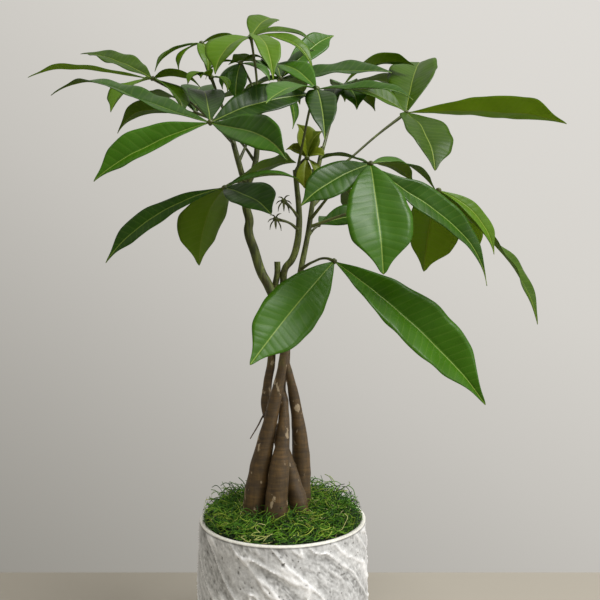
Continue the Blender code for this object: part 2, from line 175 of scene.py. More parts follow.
bpy.ops.object.select_all(action="DESELECT")
bpy.ops.mesh.primitive_cylinder_add(
    vertices=POT_SIDES, radius=RIM_RADIUS, depth=POT_HEIGHT, end_fill_type="NOTHING",
    location=(0, 0, POT_HEIGHT / 2))
pot = bpy.context.object
pot.name = "cement_pot"
bpy.ops.object.transform_apply(location=True)
bpy.ops.object.mode_set(mode="EDIT")
bpy.ops.mesh.select_mode(type="EDGE")
bpy.ops.mesh.select_all(action="DESELECT")
bpy.ops.object.mode_set(mode="OBJECT")
for edge in pot.data.edges:
    ends = [pot.data.vertices[v].co.z for v in edge.vertices]
    edge.select = abs(ends[0] - ends[1]) > 0.1 * MM
bpy.ops.object.mode_set(mode="EDIT")
bpy.ops.mesh.subdivide(number_cuts=POT_ROWS - 1)
bpy.ops.object.mode_set(mode="OBJECT")
relief = {}
# each point of the wall moves out to the pot's radius and its ridge, which fades at the lip and the foot
for vertex in pot.data.vertices:
    around = Vector((vertex.co.x, vertex.co.y, 0)).normalized()
    place = around * RIM_RADIUS + Vector((0, 0, vertex.co.z))
    fade = min(1.0, max(0.0, (POT_HEIGHT - 1.2 * MM - vertex.co.z) / (1.5 * MM)), vertex.co.z / (3 * MM))
    raised = cement_relief(place) * fade
    relief[vertex.index] = raised
    out = wall_radius(vertex.co.z) + (raised - COAT_MIDDLE * fade) * RIDGE_HEIGHT
    vertex.co = around * out + Vector((0, 0, vertex.co.z))
height = pot.data.attributes.new("cement_height", "FLOAT", "POINT")
height.data.foreach_set("value", [relief[i] for i in range(len(pot.data.vertices))])


def select_loop(piece, z, reach=0.02 * MM):
    """Selects only the vertices at one height."""
    bpy.ops.object.mode_set(mode="EDIT")
    bpy.ops.mesh.select_mode(type="VERT")
    bpy.ops.mesh.select_all(action="DESELECT")
    bpy.ops.object.mode_set(mode="OBJECT")
    for vertex in piece.data.vertices:
        vertex.select = abs(vertex.co.z - z) < reach
    bpy.ops.object.mode_set(mode="EDIT")


# the rim is drawn in over the lip and down the inside, in (radius, height) steps in millimetres
select_loop(pot, POT_HEIGHT)
radius, level = RIM_RADIUS, POT_HEIGHT
lip = [(82.3, 150.2), (81.3, 150.7), (79.6, 150.7), (78.2, 150.0), (77.6, 148.6)]
inside = [(77.5, 140), (77.5, 52), (69, 13), (66, 10)]
for step_radius, step_height in lip + inside:
    bpy.ops.mesh.extrude_edges_move()
    factor = step_radius * MM / radius
    bpy.ops.transform.resize(value=(factor, factor, 1), center_override=(0, 0, 0))
    bpy.ops.transform.translate(value=(0, 0, step_height * MM - level))
    radius, level = step_radius * MM, step_height * MM
bpy.ops.mesh.edge_face_add()
select_loop(pot, 0.0)
bpy.ops.mesh.edge_face_add()
bpy.ops.mesh.select_all(action="SELECT")
bpy.ops.mesh.normals_make_consistent(inside=False)
bpy.ops.object.mode_set(mode="OBJECT")
bpy.ops.object.shade_smooth_by_angle(angle=math.radians(50))

# White cement under a dull glaze: matte and nearly white on the ridges, with painted shade that greys the
# hollows and darkens the pits.
cement, tree = new_material("white cement glaze")
coords = add_node(tree, "TexCoord").outputs["Object"]
coat_height = add_node(tree, "Attribute", attribute_name="cement_height").outputs["Fac"]
stain = add_node(tree, "TexNoise", [
    ("Vector", coords), ("Scale", 1 / (24 * MM)), ("Detail", 4.0)]).outputs["Fac"]
# the coat's height picks its colour: the hollows get grey painted shade and the ridges the cement's white
ramp = add_node(tree, "ValToRGB", [("Fac", coat_height)])
ramp.color_ramp.elements[0].position = 0.04
ramp.color_ramp.elements[0].color = linear("747472")
ramp.color_ramp.elements[1].position = 0.72
ramp.color_ramp.elements[1].color = linear("FDFDFD")
ramp.color_ramp.elements.new(0.26).color = linear("C6C7C7")
ramp.color_ramp.elements.new(0.45).color = linear("E0E1E1")
soiled = add_node(tree, "Mix", [(0, stain), (6, ramp.outputs[0]), (7, linear("BEBCBA"))], data_type="RGBA")
stain_and_painted_shade = add_node(tree, "MixRGB", [("Fac", 0.25), (1, ramp.outputs[0]), (2, soiled.outputs[2])])
# small dark spots of painted shade, standing for the shadow inside the pits
cells = add_node(tree, "TexVoronoi", [("Vector", coords), ("Scale", 1 / (9 * MM))]).outputs["Distance"]
pit = add_node(tree, "MapRange", [("Value", cells), ("From Min", 0.05), ("From Max", 0.11)]).outputs[0]
above = add_node(tree, "SeparateXYZ", [(0, coords)]).outputs["Z"]
lipped = add_node(tree, "MapRange", [("Value", above), ("From Min", 0.1488), ("From Max", 0.1494)]).outputs[0]
with_painted_pit_shade = add_node(tree, "MixRGB", [("Fac", pit), (1, linear("6E6C69")), (2, stain_and_painted_shade.outputs[0])])
whole = add_node(tree, "MixRGB", [("Fac", lipped), (1, with_painted_pit_shade.outputs[0]), (2, linear("EFEDE4"))])
grain = add_node(tree, "TexNoise", [("Vector", coords), ("Scale", 1 / (2.2 * MM)), ("Detail", 6.0),
                                    ("Roughness", 0.65)]).outputs["Fac"]
fleck = add_node(tree, "MapRange", [("Value", grain), ("From Min", 0.38), ("From Max", 0.62),
                                    ("To Min", 0.86), ("To Max", 1.05)]).outputs[0]
speckled = add_node(tree, "MixRGB", [("Fac", 1.0), (1, whole.outputs[0]), (2, fleck)], blend_type="MULTIPLY")
rough = add_node(tree, "MapRange", [("Value", lipped), ("To Min", 0.72), ("To Max", 0.42)]).outputs[0]
bump = add_node(tree, "Bump", [("Height", grain), ("Strength", 0.5), ("Distance", 0.5 * MM)])
finish_material(tree, add_node(tree, "BsdfPrincipled", [
    ("Base Color", speckled.outputs[0]), ("Roughness", rough), ("IOR", 1.5), ("Normal", bump.outputs[0])]))
pot.data.materials.clear()
pot.data.materials.append(cement)
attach(pot, "root")
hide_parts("pot")

# ---- potting soil ----
# Dark peat soil, pressed in round the roots by hand up to a little below the rim. The moss hides it,
# so its plain solid stays, with crumbs in its finish.
peat, tree = new_material("peat potting soil")
coords = add_node(tree, "TexCoord").outputs["Object"]
crumbs = add_node(tree, "TexNoise", [
    ("Vector", coords), ("Scale", 1 / (4 * MM)), ("Detail", 6.0)]).outputs["Fac"]
ramp = add_node(tree, "ValToRGB", [("Fac", crumbs)])
ramp.color_ramp.elements[0].color = linear("1D150F")
ramp.color_ramp.elements[1].color = linear("4A382A")
bump = add_node(tree, "Bump", [("Height", crumbs), ("Strength", 0.8), ("Distance", 1.5 * MM)])
finish_material(tree, add_node(tree, "BsdfPrincipled", [
    ("Base Color", ramp.outputs[0]), ("Roughness", 0.95), ("Normal", bump.outputs[0])]))
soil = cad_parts["potting_soil"]
for slot in soil.material_slots:
    slot.material = peat

# ---- moss ----
# Dyed moss for dressing pots: a loose tangle of curly strands, heaped a little round the trunks and
# pushed down behind the rim. A matted bed lies under the strands, dark with their painted shade.
random.seed(7)
MOSS_RADIUS = 77 * MM        # where the moss meets the inside of the pot
MOSS_TOP = 157               # the heap's mean height round the trunks (mm)
LIP_TOP = 150.6 * MM         # a strand that reaches past the edge lies on the lip




def moss_level(x, y):
    """The height of the moss there: high round the trunks, down behind the rim, and lumpy."""
    out = min(1.0, math.hypot(x, y) / MOSS_RADIUS)
    lumps = noise.noise(Vector((x, y, 0)) / (17 * MM)) * 4.0
    lumps += noise.noise(Vector((x, y, 9 * MM)) / (8 * MM)) * 2.0
    behind = max(0.0, y / MOSS_RADIUS) * 4
    return (MOSS_TOP - 6 * out ** 4 + behind + lumps * (1 - out ** 6)) * MM


# The bed is a ball pressed flat: its upper half follows the heap and its lower half lies in the soil.
bpy.ops.object.select_all(action="DESELECT")
bpy.ops.mesh.primitive_ico_sphere_add(subdivisions=6, radius=1.0)
bed = bpy.context.object
bed.name = "moss_bed"
for vertex in bed.data.vertices:
    flat = Vector((vertex.co.x, vertex.co.y))
    reach = math.asin(min(1.0, flat.length)) / (math.pi / 2) * 77.2 * MM
    spot = flat.normalized() * reach if flat.length > 0 else flat
    if vertex.co.z >= 0:
        crumple = noise.noise(Vector((spot.x, spot.y, 0)) / (2.2 * MM)) * 1.6 * MM
        vertex.co = (spot.x, spot.y, moss_level(spot.x, spot.y) - 3 * MM + crumple)
    else:
        vertex.co = (spot.x, spot.y, 129 * MM)
bpy.ops.object.shade_smooth()

# One strand is a thin stalk bent into a loose curl. Fourteen are drawn, and all the others are copies.
strand_shapes = []
for number in range(14):
    bpy.ops.object.select_all(action="DESELECT")
    bpy.ops.curve.primitive_bezier_curve_add()
    drawn = bpy.context.object
    line = drawn.data.splines[0]
    knots = 5 + number % 2
    line.bezier_points.add(knots - 2)
    heading, spot = 0.0, Vector((0, 0, 0))
    bending = random.choice((-1, 1)) * random.uniform(0.35, 1.1)
    for knot in line.bezier_points:
        knot.co = spot
        knot.handle_left_type = knot.handle_right_type = "AUTO"
        knot.radius = random.uniform(0.75, 1.15)
        heading += bending * random.uniform(0.5, 1.4)
        rise = random.uniform(-0.32, 0.4)
        spot = spot + Vector((math.cos(heading), math.sin(heading), rise)) * random.uniform(4.5, 8.0) * MM
    drawn.data.resolution_u = 3
    drawn.data.bevel_depth = 0.4 * MM
    drawn.data.bevel_resolution = 0
    bpy.ops.object.convert(target="MESH")
    mesh = drawn.data
    strand_shapes.append(([v.co.copy() for v in mesh.vertices], [tuple(f.vertices) for f in mesh.polygons]))
    bpy.data.objects.remove(drawn, do_unlink=True)


def strand_heap(name, count, edge, place_one):
    """Copies of the strands in one mesh, tucked in at the edge, each toned from 0, dark, to 1, bleached, the
    tone holding painted light and shade too.
    """
    points, faces, tones = [], [], []
    for _ in range(count):
        shape_points, shape_faces = random.choice(strand_shapes)
        where, turn, size, tone = place_one()
        start = len(points)
        for point in shape_points:
            spot = where + turn @ (point * size)
            out = math.hypot(spot.x, spot.y)
            if out > edge:
                tucked = (edge + 0.12 * (out - edge)) / out
                spot = Vector((spot.x * tucked, spot.y * tucked, max(spot.z, LIP_TOP)))
            points.append(spot)
        faces.extend(tuple(start + v for v in face) for face in shape_faces)
        tones.extend([tone] * len(shape_points))
    mesh = bpy.data.meshes.new(name)
    mesh.from_pydata(points, [], faces)
    mesh.attributes.new("strand_tone_and_painted_light", "FLOAT", "POINT").data.foreach_set("value", tones)
    heap = bpy.data.objects.new(name, mesh)
    bpy.context.scene.collection.objects.link(heap)
    mesh.shade_smooth()
    return heap


def lying_strand():
    """A strand's place, turn, size and tone where it lies in the heap: darker with painted shade the deeper
    it is, lighter with painted light near the top.
    """
    out = math.sqrt(random.random()) * 76.5 * MM
    turn = random.uniform(0, 2 * math.pi)
    x, y = out * math.cos(turn), out * math.sin(turn)
    depth = random.random()
    lift = (-2.5 + 6.0 * depth) * MM
    tilt = Matrix.Rotation(random.gauss(0, 0.42), 3, "X") @ Matrix.Rotation(random.gauss(0, 0.42), 3, "Y")
    spin = Matrix.Rotation(random.uniform(0, 2 * math.pi), 3, "Z")
    patch = 0.5 + 0.5 * noise.noise(Vector((x, y, 0)) / (15 * MM))
    # the tone is painted shade on the low strands and painted light on the high ones, over patches and chance
    # in the moss's own colour
    tone = -0.1 + 0.55 * depth + 0.36 * patch + random.uniform(-0.2, 0.25)
    if random.random() < 0.03:
        tone = random.uniform(0.9, 1.0)
    return Vector((x, y, moss_level(x, y) + lift)), spin @ tilt, random.uniform(0.6, 1.05), tone


def loose_strand():
    """A strand that springs up from the heap's edge or stands off it."""
    turn = random.uniform(-0.35, math.pi + 0.35)
    out = random.uniform(50, 75) * MM
    x, y = out * math.cos(turn), out * math.sin(turn)
    tilt = Matrix.Rotation(random.uniform(-1.4, 1.4), 3, "X")
    tilt = tilt @ Matrix.Rotation(random.uniform(-1.2, 1.2), 3, "Y")
    spin = Matrix.Rotation(random.uniform(0, 2 * math.pi), 3, "Z")
    # a loose strand is toned dark: painted shade, as it stands against the light
    size, tone = random.uniform(0.7, 1.1), random.uniform(0.0, 0.5)
    return Vector((x, y, moss_level(x, y) + 2 * MM)), spin @ tilt, size, tone


heaps = [strand_heap("moss_strands_low", 1700, 77.5 * MM, lying_strand),
         strand_heap("moss_strands_high", 1800, 79 * MM, lying_strand),
         strand_heap("moss_strands_loose", 210, 80 * MM, loose_strand)]

# Moss dyed bright green: dry, fibrous and matte, darkened in its depths by painted shade, turned yellow-green
# on its upper strands by painted light, and patchy in its own colour.
dyed, tree = new_material("dyed moss")
coords = add_node(tree, "TexCoord").outputs["Object"]
tone = add_node(tree, "Attribute", attribute_name="strand_tone_and_painted_light").outputs["Fac"]
ramp = add_node(tree, "ValToRGB", [("Fac", tone)])
ramp.color_ramp.elements[0].position = 0.1
ramp.color_ramp.elements[0].color = linear("122803")
ramp.color_ramp.elements[1].position = 1.0
ramp.color_ramp.elements[1].color = linear("DAD59A")
for position, code in ((0.35, "366A08"), (0.58, "669812"), (0.82, "A6B842")):
    ramp.color_ramp.elements.new(position).color = linear(code)
fibre = add_node(tree, "TexNoise", [
    ("Vector", coords), ("Scale", 1 / (2 * MM)), ("Detail", 2.0)]).outputs["Fac"]
bump = add_node(tree, "Bump", [("Height", fibre), ("Strength", 0.4), ("Distance", 0.2 * MM)])
finish_material(tree, add_node(tree, "BsdfPrincipled", [
    ("Base Color", ramp.outputs[0]), ("Roughness", 0.75), ("Normal", bump.outputs[0])]))

# The bed under the strands: the same moss, matted, and painted dark with the shade the strands cast on it.
bedding, tree = new_material("matted moss in painted shade")
coords = add_node(tree, "TexCoord").outputs["Object"]
fibre = add_node(tree, "TexNoise", [
    ("Vector", coords), ("Scale", 1 / (3 * MM)), ("Detail", 5.0)]).outputs["Fac"]
ramp = add_node(tree, "ValToRGB", [("Fac", fibre)])
ramp.color_ramp.elements[0].position = 0.35
ramp.color_ramp.elements[0].color = linear("0A1403")
ramp.color_ramp.elements[1].position = 0.75
ramp.color_ramp.elements[1].color = linear("203C06")
bump = add_node(tree, "Bump", [("Height", fibre), ("Strength", 0.9), ("Distance", 1.2 * MM)])
finish_material(tree, add_node(tree, "BsdfPrincipled", [
    ("Base Color", ramp.outputs[0]), ("Roughness", 0.95), ("Normal", bump.outputs[0])]))
bed.data.materials.append(bedding)
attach(bed, "root")
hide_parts("moss_topdressing")
for heap in heaps:
    heap.data.materials.append(dyed)
    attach(heap, "root")

# ---- trunks ----
# Four young trunks planted together and braided while they were soft. Each swells at its foot, is
# ringed where old leaves fell, and turns from grey-brown bark into the green stem of its crown.
TRUNK_ROOT = 125.0           # a trunk is drawn from just inside the soil (mm)
trunk_left = [
    (-28, -20, TRUNK_ROOT, 12), (-27.5, -20, 164, 11.4), (-22.5, -19, 201, 10.2),
    (-15, -18, 234, 7.9), (-7.5, -16, 268, 6), (-1, -12, 298, 4.5), (2, -9, 317, 4), (8, -6, 340, 3.5),
    (14, -1, 377, 3.1), (19, 2, 403, 2.9), (25, 4, 433, 2.7), (30, 4, 467, 2.5), (35, 4, 498, 2.4),
    (40, 5, 522, 2.2),
]
trunk_front = [
    (-6, -31, TRUNK_ROOT, 12), (-6, -31, 161, 11.3), (-3, -28.5, 203, 9.6),
    (0.8, -21, 234, 6.4), (1, -7, 262, 4.8), (-1.5, 8, 280, 4.2), (3, 15, 306, 4), (2, 16, 335, 4),
    (0, 15, 362, 3.8), (0, 12, 385, 3.6), (2, 7, 399, 3.5), (9, 5, 408, 3.5), (14, 4, 423, 3.5),
    (16, 3, 440, 3.3), (16, 2, 458, 3), (14, 2, 480, 2.7), (12, 2, 498, 2.4),
]
trunk_right = [
    (18, 8, TRUNK_ROOT, 11), (18, 7, 170, 10), (18, 6, 209, 9), (16, 4, 236, 7.2),
    (12, 3, 264, 5.6), (7, 1, 288, 4.4), (2, 4, 306, 4), (-3, 5, 335, 4.1), (-8, 4, 364, 4.4),
    (-15, 4, 382, 4.8), (-22, 4, 395, 4.9), (-29, 3, 417, 4.8), (-35, 2, 437, 4.6), (-34, 2, 447, 4.4),
    (-37, 1, 460, 4.3), (-38, 0, 486, 4.2),
]
shoot_left = [(-38, 0, 482, 3.2), (-43, -2, 500, 2.9), (-50, -4, 526, 2.6), (-54, -4, 545, 2.3)]
shoot_crown = [(-38, 0, 478, 3.2), (-30, 2, 497, 3), (-26, 4, 526, 2.7), (-26, 4, 560, 2.4)]
trunk_rear = [
    (17, -16, TRUNK_ROOT, 10), (16, -15, 165, 9), (9, -10, 190, 8), (3, -7, 210, 7),
    (-7, -1, 234, 5.8), (-17, 4, 255, 4.8), (-16, 8, 280, 4.5), (-12, 10, 306, 4.2), (-12, 12, 335, 4),
    (-10, 14, 362, 3.6), (-8, 11, 383, 3.2), (-6, 9, 394, 3.1), (-6, 8, 406, 3.1),
]


def drawn_stem(name, points, resolution, sides):
    """A round stem drawn as a curve through (x, y, z, radius) points in millimetres, and made a mesh."""
    bpy.ops.object.select_all(action="DESELECT")
    bpy.ops.curve.primitive_bezier_curve_add()
    drawn = bpy.context.object
    drawn.name = name
    line = drawn.data.splines[0]
    line.bezier_points.add(len(points) - 2)
    for knot, (x, y, z, radius) in zip(line.bezier_points, points):
        knot.co = Vector((x, y, z)) * MM
        knot.handle_left_type = knot.handle_right_type = "AUTO"
        knot.radius = radius * MM
    drawn.data.resolution_u = resolution
    drawn.data.bevel_depth = 1.0
    drawn.data.bevel_resolution = sides
    drawn.data.use_fill_caps = True
    bpy.ops.object.convert(target="MESH")
    bpy.ops.object.mode_set(mode="EDIT")
    bpy.ops.mesh.select_all(action="SELECT")
    bpy.ops.mesh.remove_doubles(threshold=0.01 * MM)
    bpy.ops.mesh.normals_make_consistent(inside=False)
    bpy.ops.object.mode_set(mode="OBJECT")
    bpy.ops.object.shade_smooth_by_angle(angle=math.radians(60))
    return drawn


def add_bark(stem, points):
    """Rings, lumps and flats of a trunk, strongest on its old lower part."""
    seed = Vector((points[0][0], points[0][1], 0))
    for vertex in stem.data.vertices:
        z = vertex.co.z / MM
        old = max(0.15, min(1.0, (430 - z) / 250))
        lump = noise.noise(vertex.co / (16 * MM) + seed) * 0.9
        wobble = noise.noise(vertex.co / (25 * MM) + seed) * 14
        ring = max(0.0, math.sin((z + wobble) / 13 * math.pi + seed.x)) ** 12 * 0.22
        furrow = noise.noise(Vector((vertex.co.x / (2.6 * MM), vertex.co.y / (2.6 * MM), z / 16))) * 0.2
        vertex.co += vertex.normal * (lump + ring + furrow) * old * MM


# Young bark of a money tree: smooth and grey-brown, finely ringed, with pale rubbed patches. Higher up
# the stem is still green.
bark, tree = new_material("young bark")
coords = add_node(tree, "TexCoord").outputs["Object"]
above = add_node(tree, "SeparateXYZ", [(0, coords)]).outputs["Z"]
blotch = add_node(tree, "TexNoise", [
    ("Vector", coords), ("Scale", 1 / (14 * MM)), ("Detail", 4.0)]).outputs["Fac"]
fine = add_node(tree, "TexNoise", [
    ("Vector", coords), ("Scale", 1 / (3 * MM)), ("Detail", 5.0)]).outputs["Fac"]
streak = add_node(tree, "Mapping", [("Vector", coords), ("Scale", (1.0, 1.0, 0.16))]).outputs[0]
grain = add_node(tree, "TexNoise", [
    ("Vector", streak), ("Scale", 1 / (2.6 * MM)), ("Detail", 4.0)]).outputs["Fac"]
flat = add_node(tree, "Mapping", [("Vector", coords), ("Scale", (0.15, 0.15, 1.0))]).outputs[0]
rings = add_node(tree, "TexNoise", [
    ("Vector", flat), ("Scale", 1 / (2.6 * MM)), ("Detail", 3.0)]).outputs["Fac"]
mottled = add_node(tree, "MixRGB", [("Fac", 0.55), (1, grain), (2, blotch)]).outputs[0]
browns = add_node(tree, "ValToRGB", [("Fac", add_node(tree, "MixRGB", [
    ("Fac", 0.4), (1, mottled), (2, rings)]).outputs[0])])
browns.color_ramp.elements[0].position = 0.36
browns.color_ramp.elements[0].color = linear("3A2A16")
browns.color_ramp.elements[1].position = 0.64
browns.color_ramp.elements[1].color = linear("72562E")
browns.color_ramp.elements.new(0.5).color = linear("544022")
# the foot of the trunk is darker and greyer, up to just above the moss
level = add_node(tree, "Math", [(0, blotch), (1, 0.04), (2, above)], operation="MULTIPLY_ADD").outputs[0]
old = add_node(tree, "MapRange", [("Value", level), ("From Min", 0.172), ("From Max", 0.184),
                                  ("To Min", 0.55), ("To Max", 0.12)]).outputs[0]
aged = add_node(tree, "MixRGB", [("Fac", old), (1, browns.outputs[0]), (2, linear("3E3720"))])
greens = add_node(tree, "ValToRGB", [("Fac", grain)])
greens.color_ramp.elements[0].position = 0.38
greens.color_ramp.elements[0].color = linear("333A12")
greens.color_ramp.elements[1].position = 0.66
greens.color_ramp.elements[1].color = linear("626C2A")
# from about 300 to 370 mm the brown gives way to green, in a line that wanders with the blotches
wandering = add_node(tree, "Math", [(0, blotch), (1, 0.2)], operation="MULTIPLY")
climb = add_node(tree, "Math", [(0, above), (1, wandering.outputs[0])], operation="ADD")
greening = add_node(tree, "MapRange", [("Value", climb.outputs[0]), ("From Min", 0.40), ("From Max", 0.47)])
skin = add_node(tree, "MixRGB", [("Fac", greening.outputs[0]), (1, aged.outputs[0]), (2, greens.outputs[0])])
ringing = add_node(tree, "TexWave", [
    ("Vector", coords), ("Scale", 1 / (26 * MM) * 0.32), ("Distortion", 7.0), ("Detail", 3.0),
    ("Detail Scale", 0.8)], wave_type="BANDS", bands_direction="Z").outputs["Fac"]
ringed = add_node(tree, "MapRange", [
    ("Value", ringing), ("From Min", 0.9), ("From Max", 1.0), ("To Max", 0.35)])
darker = add_node(tree, "MixRGB", [("Fac", ringed.outputs[0]), (1, skin.outputs[0]), (2, linear("3A2E1F"))])
# pale rubbed marks, a few millimetres wide and twice as tall, and fainter on the green stem
mark = add_node(tree, "Mapping", [("Vector", coords), ("Scale", (1.0, 1.0, 0.5))]).outputs[0]
patches = add_node(tree, "TexNoise", [
    ("Vector", mark), ("Scale", 1 / (7 * MM)), ("Detail", 5.0)]).outputs["Fac"]
rubbed = add_node(tree, "MapRange", [
    ("Value", patches), ("From Min", 0.63), ("From Max", 0.67), ("To Max", 0.8)])
low = add_node(tree, "MapRange", [
    ("Value", above), ("From Min", 0.30), ("From Max", 0.34), ("To Min", 1.0), ("To Max", 0.2)])
worn = add_node(tree, "Math", [(0, rubbed.outputs[0]), (1, low.outputs[0])], operation="MULTIPLY")
patched = add_node(tree, "MixRGB", [("Fac", worn.outputs[0]), (1, darker.outputs[0]), (2, linear("B5A284"))])
height = add_node(tree, "MixRGB", [("Fac", 0.5), (1, fine), (2, rings)])
bump = add_node(tree, "Bump", [("Height", height.outputs[0]), ("Strength", 0.6), ("Distance", 0.6 * MM)])
finish_material(tree, add_node(tree, "BsdfPrincipled", [
    ("Base Color", patched.outputs[0]), ("Roughness", 0.6), ("Normal", bump.outputs[0])]))

for name, node_name, routes in (
        ("braided_trunk_left", "trunk_left", [trunk_left]),
        ("braided_trunk_front", "trunk_front", [trunk_front]),
        ("braided_trunk_right", "trunk_right", [trunk_right, shoot_left, shoot_crown]),
        ("braided_trunk_rear", "trunk_rear", [trunk_rear])):
    made = drawn_stem(name, routes[0], 16, 10)
    for route in routes[1:]:
        shoot = drawn_stem(name + "_shoot", route, 12, 6)
        union = made.modifiers.new("fork", "BOOLEAN")
        union.operation = "UNION"
        union.object = shoot
        bpy.ops.object.select_all(action="DESELECT")
        bpy.context.view_layer.objects.active = made
        made.select_set(True)
        bpy.ops.object.modifier_apply(modifier="fork")
        bpy.data.objects.remove(shoot, do_unlink=True)
    add_bark(made, routes[0])
    bpy.ops.object.shade_smooth_by_angle(angle=math.radians(70))
    made.data.materials.append(bark)
    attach(made, "root")
    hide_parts(node_name)

# ---- dead twig ----
# A thin side shoot of the rear trunk that died back. It is dry, grey-brown wood without bark, and it
# still stands where it grew.
twig_route = [(-12, 2, 256, 1.2), (-18, -8, 254, 1.0), (-24, -17, 244, 0.8), (-31, -25, 233, 0.5)]
twig = drawn_stem("dry_twig", twig_route, 8, 3)
for vertex in twig.data.vertices:
    vertex.co += vertex.normal * noise.noise(vertex.co / (2.5 * MM)) * 0.25 * MM
dead, tree = new_material("dead wood")
coords = add_node(tree, "TexCoord").outputs["Object"]
fine = add_node(tree, "TexNoise", [
    ("Vector", coords), ("Scale", 1 / (2 * MM)), ("Detail", 4.0)]).outputs["Fac"]
ramp = add_node(tree, "ValToRGB", [("Fac", fine)])
ramp.color_ramp.elements[0].color = linear("3B3027")
ramp.color_ramp.elements[1].color = linear("75675A")
bump = add_node(tree, "Bump", [("Height", fine), ("Strength", 0.5), ("Distance", 0.3 * MM)])
finish_material(tree, add_node(tree, "BsdfPrincipled", [
    ("Base Color", ramp.outputs[0]), ("Roughness", 0.85), ("Normal", bump.outputs[0])]))
twig.data.materials.append(dead)
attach(twig, "root")
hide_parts("dead_twig")


# ---- compound leaves ----
# Each leaf is one growth: a long round stalk, a knuckle, and a fan of glossy pointed leaflets. A
# leaflet is folded a little along its midrib, puffed between its side veins, and wavy at its edge.
def leaf_face(name, deep, light, rib, gloss, vein_share, glow):
    """One face of a leaflet: deep and light are its greens, and glow is how much light comes through."""
    made, tree = new_material(name)
    coords = add_node(tree, "TexCoord").outputs["Object"]
    grid = add_node(tree, "SeparateXYZ", [(0, add_node(tree, "UVMap", uv_map="veins").outputs[0])])
    tone = add_node(tree, "Attribute", attribute_name="leaf_tone_and_painted_light").outputs["Fac"]
    # side veins about 7 mm apart: the map's first number counts them, and the second is the distance
    # from the midrib in centimetres
    to_vein = add_node(tree, "Math", [(0, grid.outputs[0]), (1, 0.5)], operation="PINGPONG").outputs[0]
    side_vein = add_node(tree, "MapRange", [("Value", to_vein), ("From Min", 0.02), ("From Max", 0.12),
                                            ("To Min", 1.0), ("To Max", 0.0)]).outputs[0]
    from_rib = add_node(tree, "Math", [(0, grid.outputs[1])], operation="ABSOLUTE").outputs[0]
    midrib = add_node(tree, "MapRange", [("Value", from_rib), ("From Min", 0.025), ("From Max", 0.06),
                                         ("To Min", 1.0), ("To Max", 0.0)]).outputs[0]
    cloud = add_node(tree, "TexNoise", [
        ("Vector", coords), ("Scale", 1 / (26 * MM)), ("Detail", 3.0)]).outputs["Fac"]
    # the leaflet's tone moves it between deep and light green; on leaflets given a tone this is painted shade
    # and light
    mixed = add_node(tree, "Math", [(0, cloud), (1, tone)], operation="ADD").outputs[0]
    shade = add_node(tree, "MapRange", [("Value", mixed), ("From Min", 0.3), ("From Max", 1.4)]).outputs[0]
    blade_green = add_node(tree, "MixRGB", [("Fac", shade), (1, linear(deep)), (2, linear(light))])
    faint = add_node(tree, "Math", [(0, side_vein), (1, vein_share)], operation="MULTIPLY").outputs[0]
    veined = add_node(tree, "MixRGB", [("Fac", faint), (1, blade_green.outputs[0]), (2, linear(rib))])
    strong = add_node(tree, "Math", [(0, midrib), (1, 0.7)], operation="MULTIPLY").outputs[0]
    ribbed = add_node(tree, "MixRGB", [("Fac", strong), (1, veined.outputs[0]), (2, linear(rib))])
    puff = add_node(tree, "MapRange", [("Value", to_vein), ("From Min", 0.0), ("From Max", 0.35)],
                    interpolation_type="SMOOTHSTEP").outputs[0]
    net = add_node(tree, "TexVoronoi", [("Vector", coords), ("Scale", 1 / (2.2 * MM))],
                   feature="DISTANCE_TO_EDGE").outputs["Distance"]
    height = add_node(tree, "MixRGB", [("Fac", 0.2), (1, puff), (2, net)])
    bump = add_node(tree, "Bump", [("Height", height.outputs[0]), ("Strength", 0.16), ("Distance", 0.4 * MM)])
    roughness = add_node(tree, "MapRange", [
        ("Value", cloud), ("To Min", gloss - 0.06), ("To Max", gloss + 0.1)])
    surface = add_node(tree, "BsdfPrincipled", [
        ("Base Color", ribbed.outputs[0]), ("Roughness", roughness.outputs[0]), ("IOR", 1.3),
        ("Normal", bump.outputs[0])])
    through = add_node(tree, "BsdfTranslucent", [("Color", ribbed.outputs[0])])
    finish_material(tree, add_node(tree, "MixShader", [
        (0, glow), (1, surface.outputs[0]), (2, through.outputs[0])]))
    return made


# A mature leaflet: deep green and glossy above, olive and duller below, where the paler colour is partly its
# own and partly painted light shining through.
mature = (leaf_face("leaf upper side", "183200", "3A6602", "93AA4C", 0.36, 0.07, 0.2),
          leaf_face("leaf underside", "50700A", "6E9014", "86963C", 0.5, 0.2, 0.5))
# A leaflet not yet hardened: lighter and more olive on both sides.
half_grown = (leaf_face("half-grown leaf upper side", "385600", "5A8006", "9CAE48", 0.38, 0.08, 0.35),
              # the half-grown underside's paler green is partly painted light shining through
              leaf_face("half-grown leaf underside", "648408", "8AAC14", "9AA63E", 0.5, 0.2, 0.55))
# A young leaflet: thinner, yellow-green and softer.
young = (leaf_face("young leaf upper side", "4A600A", "748218", "A4B050", 0.4, 0.1, 0.4),
         # the young underside's paler green is partly painted light shining through
         leaf_face("young leaf underside", "6E7E10", "9A9C26", "B0B058", 0.5, 0.2, 0.45))
# A leaflet just out of the bud: a dark needle.
sprouting = (leaf_face("sprout upper side", "2E3016", "464A22", "60643A", 0.5, 0.1, 0.1),
             leaf_face("sprout underside", "2E3016", "464A22", "60643A", 0.5, 0.1, 0.1))

